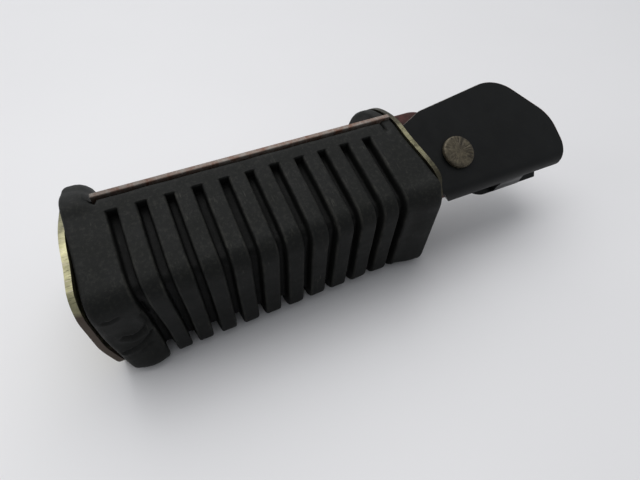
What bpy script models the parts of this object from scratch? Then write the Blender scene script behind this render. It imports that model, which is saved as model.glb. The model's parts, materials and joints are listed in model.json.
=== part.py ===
"""Folding passenger footpeg for a motorcycle.

A ribbed rubber grip sits on a steel base plate between two D-shaped end plates. A lug on
the inner end plate turns on a riveted pin between the ears of a pressed channel bracket.
The part lies on one side of its grip, as it rests on a bench.

Peg pieces are drawn in the grip's frame: X runs inboard along the grip, Y runs from the
tread to the base and Z runs across the tread. Bracket pieces are drawn in the hinge's
frame: X runs inboard, Y runs across the ears and Z runs along the pin.
"""
import math

import bmesh
import bpy
from mathutils import Vector

MM = 0.001

# Running clearance between pieces that touch
GAP = 0.3 * MM

# Rubber grip
GRIP_LENGTH = 100.0 * MM
GRIP_DEPTH = 31.0 * MM
TREAD_WIDTH = 35.0 * MM
SIDE_TAPER = math.radians(9.4)
TREAD_CORNER_RADIUS = 6.3 * MM
BASE_CORNER_RADIUS = 1.5 * MM
GRIP_EDGE_RADIUS = 1.2 * MM
FLANGE_THICKNESS = 3.8 * MM
FLANGE_EDGE_RADIUS = 1.3 * MM
FLANGE_SETBACK = 0.2 * MM

# Grooves that part the ribs
GROOVE_COUNT = 11
GROOVE_PITCH = 7.6 * MM
GROOVE_WIDTH = 2.5 * MM
GROOVE_DEPTH = 3.6 * MM
GROOVE_LIP = 0.6 * MM
GROOVE_END_MARGIN = 5.1 * MM
GROOVE_OVERCUT = 1.0 * MM

# End plates
END_PLATE_THICKNESS = 1.6 * MM
END_PLATE_EDGE = 0.25 * MM
END_ROUND_RADIUS = 21.0 * MM
END_ROUND_START = 25.0 * MM
END_ROUND_TURN = math.radians(68)
OUTER_ROUND_RADIUS = 18.8 * MM
OUTER_ROUND_START = 15.0 * MM
PLATE_TREAD_SETBACK = 1.5 * MM
PLATE_CORNER_RADIUS = 8.5 * MM

# Base plate, with a tab at each end that passes through the end plate
BASE_PLATE_THICKNESS = 1.6 * MM
BASE_PLATE_EDGE = 0.2 * MM
TAB_WIDTH = 28.0 * MM

# Pressed stiffener under the base plate
STIFFENER_WIDTH = 18.0 * MM
STIFFENER_HEIGHT = 8.0 * MM
STIFFENER_SHEET = 2.0 * MM
STIFFENER_BEND = 1.2 * MM
STIFFENER_END_MARGIN = 2.0 * MM

# Weld beads
BEAD_LEG = 2.0 * MM
BEAD_CROWN = 1.0 * MM
BEAD_SETBACK = 1.0 * MM
TAB_BEAD_WIDTH = 3.6 * MM
STIFFENER_BEAD_MARGIN = 9.0 * MM

# Hinge axis, set from the end plate, the tread and the middle of the grip
HINGE_TILT = math.radians(25.4)
HINGE_FROM_PLATE = 16.0 * MM
HINGE_FROM_TREAD = 19.4 * MM
HINGE_ACROSS = 6.1 * MM

# Pin and washers
PIN_DIAMETER = 8.0 * MM
PIN_HEAD_DIAMETER = 11.0 * MM
PIN_HEAD_HEIGHT = 2.0 * MM
PIN_HEAD_CHAMFER = 0.7 * MM
PIN_TAIL_DIAMETER = 10.8 * MM
PIN_TAIL_HEIGHT = 1.8 * MM
SHIM_THICKNESS = 0.8 * MM
SHIM_DIAMETER = 17.0 * MM
WAVE_SHEET = 0.4 * MM
WAVE_COUNT = 3
TAIL_WASHER_THICKNESS = 1.2 * MM
TAIL_WASHER_DIAMETER = 16.0 * MM

# Hinge lug
LUG_THICKNESS = 9.4 * MM
LUG_HEIGHT = 19.8 * MM
LUG_SHOULDER_RADIUS = 10.0 * MM
LUG_CLEARANCE = 0.4 * MM

# Pressed channel bracket
SHEET = 2.8 * MM
BEND_RADIUS = 1.2 * MM
EAR_LENGTH = 42.6 * MM
EAR_SWEEP_CLEARANCE = 0.8 * MM
EAR_TREAD_STEP = 1.2 * MM
EAR_STOP_HEIGHT = 13.7 * MM
EAR_STOP_RADIUS = 0.8 * MM
EAR_SHOULDER_X = 7.2 * MM
EAR_SHOULDER_Y = 17.4 * MM
EAR_SHOULDER_RADIUS = 5.0 * MM
EAR_CREST_X = 26.9 * MM
EAR_CREST_Y = 22.2 * MM
EAR_CREST_RADIUS = 14.0 * MM
EAR_HEEL_Y = 3.4 * MM
EAR_HEEL_RADIUS = 14.0 * MM
EAR_TOE_RADIUS = 9.0 * MM
WEB_CLEARANCE = 2.6 * MM
WEB_LENGTH = 19.6 * MM
WEB_SLANT = 6.6 * MM
RELIEF_STEP = 3.3 * MM
RELIEF_TURN = math.radians(40)
SLOT_SETBACK = 0.6 * MM
OUTLINE_OVERCUT = 0.5 * MM
CUT_MARGIN = 2.0 * MM

# Sizes that follow from the ones above
FLANGE_INNER = GRIP_LENGTH / 2 - FLANGE_THICKNESS
PLATE_INNER = GRIP_LENGTH / 2 + GAP
PLATE_OUTER = PLATE_INNER + END_PLATE_THICKNESS
BASE_PLATE_TOP = GRIP_DEPTH + GAP
BASE_PLATE_BOTTOM = BASE_PLATE_TOP + BASE_PLATE_THICKNESS
STIFFENER_TOP = BASE_PLATE_BOTTOM + GAP
HINGE_X = PLATE_OUTER + HINGE_FROM_PLATE
LUG_CHEEK = LUG_THICKNESS / 2
CHANNEL_INNER = LUG_CHEEK + SHIM_THICKNESS + 2 * GAP
CHANNEL_OUTER = CHANNEL_INNER + SHEET
EAR_SWEEP_RADIUS = HINGE_FROM_PLATE - EAR_SWEEP_CLEARANCE
EAR_TREAD_SIDE = EAR_SWEEP_RADIUS - EAR_TREAD_STEP
LUG_NOSE_RADIUS = EAR_TREAD_SIDE - SHEET - LUG_CLEARANCE
WEB_START = LUG_NOSE_RADIUS + WEB_CLEARANCE
BORE_DIAMETER = PIN_DIAMETER + 2 * GAP


def half_width(depth):
    """Half the grip's width at a depth from the tread; the sides spread towards the base."""
    return TREAD_WIDTH / 2 + depth * math.tan(SIDE_TAPER)


def arc(centre, radius, start, end, steps):
    """Points along an arc, from one angle to the other."""
    points = []
    for step in range(steps + 1):
        angle = start + (end - start) * step / steps
        points.append((centre[0] + radius * math.cos(angle), centre[1] + radius * math.sin(angle)))
    return points


def rounded(corners, steps=6):
    """A closed outline from corners (x, y, radius), each fillet limited by its two sides."""
    outline = []
    for index, (x, y, radius) in enumerate(corners):
        here = Vector((x, y))
        back = Vector(corners[index - 1][:2]) - here
        ahead = Vector(corners[(index + 1) % len(corners)][:2]) - here
        half = back.angle(ahead) / 2
        if radius <= 0 or half > math.radians(89):
            outline.append((x, y))
            continue
        reach = min(radius / math.tan(half), 0.49 * back.length, 0.49 * ahead.length)
        fillet = reach * math.tan(half)
        centre = here + (back.normalized() + ahead.normalized()).normalized() * fillet / math.sin(half)
        start = here + back.normalized() * reach - centre
        end = here + ahead.normalized() * reach - centre
        first = math.atan2(start.y, start.x)
        sweep = math.atan2(end.y, end.x) - first
        sweep = (sweep + math.pi) % (2 * math.pi) - math.pi
        outline.extend(arc(centre, fillet, first, first + sweep, steps))
    return outline


def bezier(corners, steps):
    """Points along a cubic curve with four control points, without its last point."""
    points = []
    for step in range(steps):
        t = step / steps
        weights = ((1 - t) ** 3, 3 * t * (1 - t) ** 2, 3 * t * t * (1 - t), t ** 3)
        x = sum(weight * corner[0] for weight, corner in zip(weights, corners))
        y = sum(weight * corner[1] for weight, corner in zip(weights, corners))
        points.append((x, y))
    return points


def inset(outline, distance):
    """Move each point of a counter-clockwise convex outline inwards along its own normal."""
    moved = []
    for index, point in enumerate(outline):
        edge = Vector(outline[(index + 1) % len(outline)]) - Vector(outline[index - 1])
        edge.normalize()
        moved.append((point[0] - edge.y * distance, point[1] + edge.x * distance))
    return moved


def grip_outline(setback=0.0, corner=TREAD_CORNER_RADIUS):
    """Section of the grip's tread block, as (depth, across) points, set back from the tread."""
    corners = [
        (setback, -half_width(setback), corner),
        (GRIP_DEPTH, -half_width(GRIP_DEPTH), BASE_CORNER_RADIUS),
        (GRIP_DEPTH, half_width(GRIP_DEPTH), BASE_CORNER_RADIUS),
        (setback, half_width(setback), corner),
    ]
    return rounded(corners, steps=8)


def end_outline(section, round_start=END_ROUND_START, radius=END_ROUND_RADIUS):
    """D-shaped outline of the peg's ends: the tread side of a section, closed by a round base."""
    start = (round_start, half_width(round_start))
    end = arc((GRIP_DEPTH, 0.0), radius, END_ROUND_TURN, 0.0, 1)[0]
    reach = 0.36 * math.dist(start, end)
    leave = (start[0] + reach * math.cos(SIDE_TAPER), start[1] + reach * math.sin(SIDE_TAPER))
    arrive = (end[0] - reach * math.sin(END_ROUND_TURN), end[1] + reach * math.cos(END_ROUND_TURN))
    upper = bezier((start, leave, arrive, end), 5)
    upper += arc((GRIP_DEPTH, 0.0), radius, END_ROUND_TURN, 0.0, 10)
    lower = [(x, -y) for x, y in upper[:-1]]
    tread = [point for point in section if point[0] < GRIP_DEPTH / 2]
    near = [point for point in tread if point[1] < 0]
    far = [point for point in tread if point[1] > 0]
    return near + lower + upper[::-1] + far


def lug_outline():
    """Hinge lug: a round nose about the pin, a tall back against the end plate."""
    back = GAP - HINGE_FROM_PLATE
    nose = arc((0.0, 0.0), LUG_NOSE_RADIUS, -math.pi / 2, math.pi / 4, 14)
    corners = [(back, -LUG_NOSE_RADIUS, 0.0)]
    corners += [(x, y, 0.0) for x, y in nose]
    corners.append((LUG_NOSE_RADIUS * math.sqrt(2) - LUG_HEIGHT, LUG_HEIGHT, LUG_SHOULDER_RADIUS))
    corners.append((back, LUG_HEIGHT, 0.0))
    return rounded(corners, steps=8)


def ear_outline():
    """Bracket ear: stop nose, shoulder, crest, heel and toe, and a corner that clears the plate."""
    tread_side = -EAR_TREAD_SIDE - OUTLINE_OVERCUT
    first = math.asin(tread_side / EAR_SWEEP_RADIUS)
    sweep = arc((0.0, 0.0), EAR_SWEEP_RADIUS, -math.pi, first - 2 * (first + math.pi / 2), 7)
    corners = [(x, y, 0.0) for x, y in sweep]
    corners.append((EAR_LENGTH, tread_side, EAR_TOE_RADIUS))
    corners.append((EAR_LENGTH, EAR_HEEL_Y, EAR_HEEL_RADIUS))
    corners.append((EAR_CREST_X, EAR_CREST_Y, EAR_CREST_RADIUS))
    corners.append((-EAR_SHOULDER_X, EAR_SHOULDER_Y, EAR_SHOULDER_RADIUS))
    corners.append((GAP - HINGE_FROM_PLATE, EAR_STOP_HEIGHT, EAR_STOP_RADIUS))
    return rounded(corners, steps=8)


def channel_outline(reach):
    """Section of the bracket's channel, as (across, along pin) points, open towards the base."""
    outer = BEND_RADIUS + SHEET
    floor = -EAR_TREAD_SIDE
    corners = [
        (reach, CHANNEL_OUTER, 0.0),
        (floor, CHANNEL_OUTER, outer),
        (floor, -CHANNEL_OUTER, outer),
        (reach, -CHANNEL_OUTER, 0.0),
        (reach, -CHANNEL_INNER, 0.0),
        (floor + SHEET, -CHANNEL_INNER, BEND_RADIUS),
        (floor + SHEET, CHANNEL_INNER, BEND_RADIUS),
        (reach, CHANNEL_INNER, 0.0),
    ]
    return rounded(corners, steps=6)


def stiffener_outline():
    """Section of the stiffener, as (depth, across) points, open towards the base plate."""
    outer = STIFFENER_WIDTH / 2
    inner = outer - STIFFENER_SHEET
    floor = STIFFENER_HEIGHT - STIFFENER_SHEET
    corners = [
        (0.0, -outer, 0.0),
        (STIFFENER_HEIGHT, -outer, STIFFENER_BEND + STIFFENER_SHEET),
        (STIFFENER_HEIGHT, outer, STIFFENER_BEND + STIFFENER_SHEET),
        (0.0, outer, 0.0),
        (0.0, inner, 0.0),
        (floor, inner, STIFFENER_BEND),
        (floor, -inner, STIFFENER_BEND),
        (0.0, -inner, 0.0),
    ]
    return rounded(corners, steps=4)


def base_plate_outline():
    """Base plate as (along, across) points: full width between the flanges, a tab at each end."""
    shoulder = FLANGE_INNER - GAP
    side = half_width(GRIP_DEPTH)
    tab = TAB_WIDTH / 2
    return [
        (-PLATE_OUTER, -tab), (-shoulder, -tab), (-shoulder, -side),
        (shoulder, -side), (shoulder, -tab), (PLATE_OUTER, -tab),
        (PLATE_OUTER, tab), (shoulder, tab), (shoulder, side),
        (-shoulder, side), (-shoulder, tab), (-PLATE_OUTER, tab),
    ]


def material(name, colour, roughness, metallic):
    """A Principled material with a base colour, a roughness and a metallic value."""
    made = bpy.data.materials.new(name)
    made.use_nodes = True
    shader = made.node_tree.nodes["Principled BSDF"]
    shader.inputs["Base Color"].default_value = (*colour, 1.0)
    shader.inputs["Roughness"].default_value = roughness
    shader.inputs["Metallic"].default_value = metallic
    made.diffuse_color = (*colour, 1.0)
    return made


def finish(name, mesh_data, smooth_angle=35):
    """Turn a bmesh into a named object with its normals out and its edges kept sharp."""
    bmesh.ops.recalc_face_normals(mesh_data, faces=mesh_data.faces)
    mesh = bpy.data.meshes.new(name)
    mesh_data.to_mesh(mesh)
    mesh_data.free()
    mesh.shade_smooth()
    mesh.set_sharp_from_angle(angle=math.radians(smooth_angle))
    made = bpy.data.objects.new(name, mesh)
    bpy.context.collection.objects.link(made)
    return made


def prism(name, outline, low, high, plane):
    """Extrude an outline: 'XY' along Z, 'YZ' along X or 'XZ' along Y."""
    order = {"XY": (0, 1, 2), "YZ": (2, 0, 1), "XZ": (0, 2, 1)}[plane]
    shape = bmesh.new()
    verts = []
    for a, b in outline:
        flat = (a, b, low)
        verts.append(shape.verts.new([flat[index] for index in order]))
    face = shape.faces.new(verts)
    grown = bmesh.ops.extrude_face_region(shape, geom=[face])
    top = [item for item in grown["geom"] if isinstance(item, bmesh.types.BMVert)]
    rise = (0.0, 0.0, high - low)
    bmesh.ops.translate(shape, verts=top, vec=[rise[index] for index in order])
    return finish(name, shape)


def loft(name, rings):
    """Skin a row of rings (x, outline) along X and close both ends."""
    shape = bmesh.new()
    loops = []
    for x, outline in rings:
        loops.append([shape.verts.new((x, a, b)) for a, b in outline])
    for first, second in zip(loops, loops[1:]):
        for index in range(len(first)):
            after = (index + 1) % len(first)
            shape.faces.new((first[index], first[after], second[after], second[index]))
    shape.faces.new(loops[0])
    shape.faces.new(loops[-1])
    return finish(name, shape)


def turned(name, profile, closed, steps=40):
    """Spin a profile (radius, height) about Z; a closed profile leaves a bore."""
    shape = bmesh.new()
    verts = [shape.verts.new((radius, 0.0, height)) for radius, height in profile]
    pairs = list(zip(verts, verts[1:]))
    if closed:
        pairs.append((verts[-1], verts[0]))
    edges = [shape.edges.new(pair) for pair in pairs]
    bmesh.ops.spin(shape, geom=verts + edges, axis=(0, 0, 1), cent=(0, 0, 0),
                   angle=2 * math.pi, steps=steps, use_merge=True)
    bmesh.ops.remove_doubles(shape, verts=shape.verts, dist=0.00001)
    return finish(name, shape)


def washer(name, bore, diameter, low, high):
    """A flat washer between two heights."""
    profile = [(diameter / 2, high), (diameter / 2, low), (bore / 2, low), (bore / 2, high)]
    return turned(name, profile, closed=True)


def wave_washer(name, bore, diameter, middle):
    """A thin ring pressed into even waves, which keeps the fold stiff."""
    steps = 16 * WAVE_COUNT
    swing = (SHIM_THICKNESS - WAVE_SHEET) / 2
    shape = bmesh.new()
    rings = []
    for radius, side in ((bore / 2, 1), (diameter / 2, 1), (diameter / 2, -1), (bore / 2, -1)):
        ring = []
        for step in range(steps):
            angle = 2 * math.pi * step / steps
            height = middle + swing * math.sin(WAVE_COUNT * angle) + side * WAVE_SHEET / 2
            ring.append(shape.verts.new((radius * math.cos(angle), radius * math.sin(angle), height)))
        rings.append(ring)
    for index, ring in enumerate(rings):
        after = rings[(index + 1) % 4]
        for step in range(steps):
            ahead = (step + 1) % steps
            shape.faces.new((ring[step], ring[ahead], after[ahead], after[step]))
    return finish(name, shape)


def groove_cutter():
    """One groove: a flared slot section carried round the tread block, closed near the base."""
    half = GROOVE_WIDTH / 2
    flare = half + GROOVE_LIP + GROOVE_OVERCUT
    section = [
        (-half, -GROOVE_DEPTH), (half, -GROOVE_DEPTH), (half, -GROOVE_LIP),
        (flare, GROOVE_OVERCUT), (-flare, GROOVE_OVERCUT), (-half, -GROOVE_LIP),
    ]
    stop = GRIP_DEPTH - GROOVE_END_MARGIN
    tread = [point for point in grip_outline() if point[0] < GRIP_DEPTH / 2]
    near = [point for point in tread if point[1] < 0]
    far = [point for point in tread if point[1] > 0]
    path = [(stop, half_width(stop))] + far + near + [(stop, -half_width(stop))]
    shape = bmesh.new()
    loops = []
    for index, point in enumerate(path):
        before = Vector(path[max(index - 1, 0)])
        after = Vector(path[min(index + 1, len(path) - 1)])
        step = after - before
        step.normalize()
        turn = 1.0
        if 0 < index < len(path) - 1:
            spread = (Vector(point) - before).angle(after - Vector(point))
            turn = 1.0 / math.cos(spread / 2)
        normal = Vector((-step.y, step.x)) * -turn
        loop = []
        for along, out in section:
            loop.append(shape.verts.new((along, point[0] + normal.x * out, point[1] + normal.y * out)))
        loops.append(loop)
    for first, second in zip(loops, loops[1:]):
        for index in range(len(section)):
            ahead = (index + 1) % len(section)
            shape.faces.new((first[index], first[ahead], second[ahead], second[index]))
    shape.faces.new(loops[0])
    shape.faces.new(loops[-1])
    cutter = finish("groove_cutter", shape)
    row = cutter.modifiers.new("Row of grooves", "ARRAY")
    row.count = GROOVE_COUNT
    row.use_relative_offset = False
    row.use_constant_offset = True
    row.constant_offset_displace = (GROOVE_PITCH, 0.0, 0.0)
    return cutter


def box(name, low, high):
    """A block between two corners."""
    outline = [(low[0], low[1]), (high[0], low[1]), (high[0], high[1]), (low[0], high[1])]
    return prism(name, outline, low[2], high[2], "XY")


def combine(target, tool, operation):
    """Add a Boolean modifier and turn its tool into a hidden guide."""
    step = target.modifiers.new(tool.name, "BOOLEAN")
    step.operation = operation
    step.solver = "EXACT"
    step.object = tool
    tool.hide_render = True
    tool.display_type = "WIRE"


def bevel(target, width, segments=2):
    """Round the sharp edges of a piece."""
    step = target.modifiers.new("Edges", "BEVEL")
    step.width = width
    step.segments = segments
    step.limit_method = "ANGLE"
    step.angle_limit = math.radians(40)


def frame(name, tilt):
    """An empty on the hinge axis, turned about X."""
    made = bpy.data.objects.new(name, None)
    made.empty_display_size = 0.02
    made.rotation_euler = (tilt, 0.0, 0.0)
    bpy.context.collection.objects.link(made)
    return made


def place(piece, parent, look, along=0.0, depth=0.0, across=0.0):
    """Parent a peg piece at a point given from the middle of the tread."""
    piece.parent = parent
    piece.location = (along - HINGE_X, depth - HINGE_FROM_TREAD, across - HINGE_ACROSS)
    if look is not None:
        piece.data.materials.append(look)


def hang(piece, parent, look, tilt=0.0):
    """Parent a piece drawn about the hinge axis."""
    piece.parent = parent
    piece.rotation_euler = (tilt, 0.0, 0.0)
    if look is not None:
        piece.data.materials.append(look)


def make_grip(peg, look):
    """Rubber grip: tapered block, a D-shaped flange at each end and eleven grooves."""
    end = GRIP_LENGTH / 2
    section = grip_outline()
    small = inset(section, GRIP_EDGE_RADIUS)
    soft = inset(section, GRIP_EDGE_RADIUS * 0.3)
    grip = loft("rubber_grip", [
        (-end, small), (-end + 0.3 * GRIP_EDGE_RADIUS, soft), (-end + GRIP_EDGE_RADIUS, section),
        (end - GRIP_EDGE_RADIUS, section), (end - 0.3 * GRIP_EDGE_RADIUS, soft), (end, small),
    ])
    place(grip, peg, look)
    outline = end_outline(grip_outline())
    for name, side in (("outer_flange", -1), ("inner_flange", 1)):
        rings = [
            (side * (end - FLANGE_SETBACK / 2), inset(outline, FLANGE_SETBACK + GRIP_EDGE_RADIUS)),
            (side * (end - GRIP_EDGE_RADIUS), inset(outline, FLANGE_SETBACK)),
            (side * (FLANGE_INNER + FLANGE_EDGE_RADIUS), inset(outline, FLANGE_SETBACK)),
            (side * (FLANGE_INNER + 0.3 * FLANGE_EDGE_RADIUS),
             inset(outline, FLANGE_SETBACK + 0.3 * FLANGE_EDGE_RADIUS)),
            (side * FLANGE_INNER, inset(outline, FLANGE_SETBACK + FLANGE_EDGE_RADIUS)),
        ]
        flange = loft(name, rings)
        place(flange, peg, None)
        slot_half = TAB_WIDTH / 2 + GAP
        slot = box(name + "_slot", (-GRIP_LENGTH, GRIP_DEPTH - GAP, -slot_half),
                   (GRIP_LENGTH, BASE_PLATE_BOTTOM + GAP, slot_half))
        place(slot, peg, None)
        combine(flange, slot, "DIFFERENCE")
        combine(grip, flange, "UNION")
    grooves = groove_cutter()
    place(grooves, peg, None, along=-(GROOVE_COUNT - 1) / 2 * GROOVE_PITCH)
    combine(grip, grooves, "DIFFERENCE")
    return grip


def make_end_plate(name, peg, look, low, round_start, radius):
    """D-shaped end plate, set back from the tread, with a slot for the base plate's tab."""
    section = grip_outline(PLATE_TREAD_SETBACK, PLATE_CORNER_RADIUS)
    plate = prism(name, end_outline(section, round_start, radius), 0.0, END_PLATE_THICKNESS, "YZ")
    place(plate, peg, look, along=low)
    bevel(plate, END_PLATE_EDGE)
    slot_half = TAB_WIDTH / 2 + GAP
    slot = box(name + "_slot", (-END_PLATE_THICKNESS, BASE_PLATE_TOP - GAP, -slot_half),
               (2 * END_PLATE_THICKNESS, BASE_PLATE_BOTTOM + GAP, slot_half))
    place(slot, peg, None, along=low)
    combine(plate, slot, "DIFFERENCE")


def make_tab_bead(name, peg, look, side, low, high):
    """Half-round weld over a tab's end, on the outer face of an end plate."""
    half = TAB_BEAD_WIDTH / 2
    profile = [(0.0, -half), (0.0, half)]
    for step in range(1, 8):
        angle = math.pi * step / 8
        profile.append((side * BEAD_CROWN * math.sin(angle), half * math.cos(angle)))
    bead = prism(name, profile, low, high, "XY")
    middle = (BASE_PLATE_TOP + BASE_PLATE_BOTTOM) / 2
    place(bead, peg, look, along=side * (PLATE_OUTER + GAP), depth=middle)


def make_stiffener(peg, look, weld_look):
    """Pressed channel welded along the middle of the base plate."""
    reach = FLANGE_INNER - STIFFENER_END_MARGIN
    channel = prism("stiffener", stiffener_outline(), -reach, reach, "YZ")
    place(channel, peg, look, depth=STIFFENER_TOP)
    seat = STIFFENER_WIDTH / 2 + GAP
    length = reach - STIFFENER_BEAD_MARGIN
    for name, side in (("stiffener_weld_near", -1), ("stiffener_weld_far", 1)):
        profile = [(0.0, side * seat), (BEAD_LEG, side * seat), (0.0, side * (seat + BEAD_LEG))]
        bead = prism(name, profile, -length, length, "YZ")
        place(bead, peg, weld_look, depth=STIFFENER_TOP)


def make_lug(peg, look, weld_look):
    """Solid lug that turns on the pin, and the weld above it on the end plate."""
    lug = prism("hinge_lug", lug_outline(), -LUG_CHEEK, LUG_CHEEK, "XY")
    hang(lug, peg, look, HINGE_TILT)
    bore = turned("lug_bore", [(0.0, LUG_THICKNESS), (BORE_DIAMETER / 2, LUG_THICKNESS),
                               (BORE_DIAMETER / 2, -LUG_THICKNESS), (0.0, -LUG_THICKNESS)], closed=False)
    hang(bore, peg, None, HINGE_TILT)
    combine(lug, bore, "DIFFERENCE")
    back = GAP - HINGE_FROM_PLATE
    foot = LUG_HEIGHT + GAP
    profile = [(back, foot), (back + BEAD_LEG, foot), (back, foot + BEAD_LEG)]
    reach = LUG_CHEEK - BEAD_SETBACK / 2
    bead = prism("lug_weld", profile, -reach, reach, "XY")
    hang(bead, peg, weld_look, HINGE_TILT)


def make_bracket(holder, look):
    """Pressed channel: ears cut to outline, and a web between them that leaves the lug free.

    The web starts on a slant, and the ear at the pin's tail is cut back beside that start.
    """
    bracket = prism("mounting_bracket", ear_outline(), -CHANNEL_OUTER - CUT_MARGIN,
                    CHANNEL_OUTER + CUT_MARGIN, "XY")
    hang(bracket, holder, look)
    reach = EAR_CREST_Y + CUT_MARGIN
    channel = prism("channel_section", channel_outline(reach), -HINGE_FROM_PLATE - CUT_MARGIN,
                    EAR_LENGTH + CUT_MARGIN, "YZ")
    hang(channel, holder, None)
    combine(bracket, channel, "INTERSECT")
    slot_half = CHANNEL_INNER - SLOT_SETBACK
    slot_top = BEND_RADIUS + SHEET - EAR_TREAD_SIDE
    web_end = WEB_START + WEB_LENGTH
    outboard, inboard = -HINGE_FROM_PLATE - CUT_MARGIN, EAR_LENGTH + 2 * CUT_MARGIN
    below = -EAR_TREAD_SIDE - CUT_MARGIN
    height = CHANNEL_OUTER + 2 * CUT_MARGIN
    slant = [(outboard, -slot_half), (WEB_START + WEB_SLANT, -slot_half), (WEB_START, slot_half),
             (outboard, slot_half)]
    foot = WEB_START - RELIEF_STEP
    relief = [(outboard, below), (foot + (slot_top - below) / math.tan(RELIEF_TURN), below),
              (foot, slot_top), (outboard, slot_top)]
    for slot in (prism("lug_slot", slant, below, slot_top, "XZ"),
                 prism("tail_ear_relief", relief, -height, SLOT_SETBACK - slot_half, "XY"),
                 box("inboard_slot", (web_end, below, -slot_half), (inboard, slot_top, slot_half))):
        hang(slot, holder, None)
        combine(bracket, slot, "DIFFERENCE")
    bore = turned("bracket_bore", [(0.0, height), (BORE_DIAMETER / 2, height),
                                   (BORE_DIAMETER / 2, -height), (0.0, -height)], closed=False)
    hang(bore, holder, None)
    combine(bracket, bore, "DIFFERENCE")


def make_pin(holder, look, washer_look):
    """Headed pin peened over a washer, with a shim and a wave washer beside the lug."""
    head_seat = CHANNEL_OUTER + GAP
    head_top = head_seat + PIN_HEAD_HEIGHT
    head = PIN_HEAD_DIAMETER / 2
    shank = PIN_DIAMETER / 2
    washer_top = -CHANNEL_OUTER - GAP
    washer_bottom = washer_top - TAIL_WASHER_THICKNESS
    tail_seat = washer_bottom - GAP
    tail_end = tail_seat - PIN_TAIL_HEIGHT
    tail = PIN_TAIL_DIAMETER / 2
    profile = [
        (0.0, head_top + 0.2 * PIN_HEAD_CHAMFER), (0.5 * head, head_top + 0.1 * PIN_HEAD_CHAMFER),
        (head - PIN_HEAD_CHAMFER, head_top - 0.2 * PIN_HEAD_CHAMFER), (head, head_top - PIN_HEAD_CHAMFER),
        (head, head_seat), (shank, head_seat), (shank, tail_seat), (tail, tail_seat),
        (tail, tail_seat - 0.4 * PIN_TAIL_HEIGHT), (0.75 * tail, tail_end + 0.15 * PIN_TAIL_HEIGHT),
        (0.4 * tail, tail_end), (0.0, tail_end),
    ]
    hang(turned("hinge_pin", profile, closed=False), holder, look)
    hang(washer("tail_washer", BORE_DIAMETER, TAIL_WASHER_DIAMETER, washer_bottom, washer_top),
         holder, washer_look)
    shim_low = LUG_CHEEK + GAP
    hang(washer("shim_washer", BORE_DIAMETER, SHIM_DIAMETER, shim_low, shim_low + SHIM_THICKNESS),
         holder, washer_look)
    wave_middle = -LUG_CHEEK - GAP - SHIM_THICKNESS / 2
    hang(wave_washer("wave_washer", BORE_DIAMETER, SHIM_DIAMETER, wave_middle), holder, washer_look)


def settle(frames):
    """Stand the part on its lowest point, with the middle of its footprint at the origin."""
    bpy.context.view_layer.update()
    graph = bpy.context.evaluated_depsgraph_get()
    corners = []
    for piece in bpy.data.objects:
        if piece.type != "MESH" or piece.hide_render:
            continue
        shape = piece.evaluated_get(graph)
        mesh = shape.to_mesh()
        corners.extend(shape.matrix_world @ vertex.co for vertex in mesh.vertices)
        shape.to_mesh_clear()
    low = [min(corner[axis] for corner in corners) for axis in range(3)]
    high = [max(corner[axis] for corner in corners) for axis in range(3)]
    shift = Vector(((low[0] + high[0]) / 2, (low[1] + high[1]) / 2, low[2]))
    for item in frames:
        item.location = item.location - shift
    bpy.context.view_layer.update()


def build():
    """Make every piece of the footpeg."""
    for item in list(bpy.data.objects):
        bpy.data.objects.remove(item)
    rubber = material("moulded_rubber", (0.022, 0.023, 0.023), 0.62, 0.0)
    zinc = material("zinc_plated_steel", (0.42, 0.39, 0.29), 0.42, 0.9)
    bare = material("weathered_steel", (0.30, 0.27, 0.25), 0.5, 0.85)
    rusty = material("rusted_steel", (0.13, 0.07, 0.05), 0.8, 0.3)
    paint = material("black_paint_on_steel", (0.016, 0.017, 0.018), 0.45, 0.1)
    pin_steel = material("turned_steel", (0.26, 0.23, 0.19), 0.45, 0.85)
    spring = material("spring_steel", (0.20, 0.19, 0.18), 0.4, 0.9)
    weld = material("weld_metal", (0.16, 0.12, 0.10), 0.6, 0.7)

    peg = frame("peg_hinge", SIDE_TAPER)
    holder = frame("bracket_hinge", SIDE_TAPER + HINGE_TILT)
    make_grip(peg, rubber)
    make_end_plate("outer_end_plate", peg, zinc, -PLATE_OUTER, OUTER_ROUND_START, OUTER_ROUND_RADIUS)
    make_end_plate("inner_end_plate", peg, zinc, PLATE_INNER, END_ROUND_START, END_ROUND_RADIUS)
    base = prism("base_plate", base_plate_outline(), 0.0, BASE_PLATE_THICKNESS, "XZ")
    place(base, peg, bare, depth=BASE_PLATE_TOP)
    bevel(base, BASE_PLATE_EDGE, 1)
    make_stiffener(peg, bare, weld)
    bead_reach = TAB_WIDTH / 2 - BEAD_SETBACK
    make_tab_bead("outer_tab_weld", peg, weld, -1, -bead_reach, bead_reach)
    make_tab_bead("inner_tab_weld", peg, weld, 1, -bead_reach, 0.0)
    make_lug(peg, rusty, weld)
    make_bracket(holder, paint)
    make_pin(holder, pin_steel, spring)
    settle((peg, holder))


build()
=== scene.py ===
"""A worn folding passenger footpeg for a motorcycle, lying on one side of its grip."""
import json
import math

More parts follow.
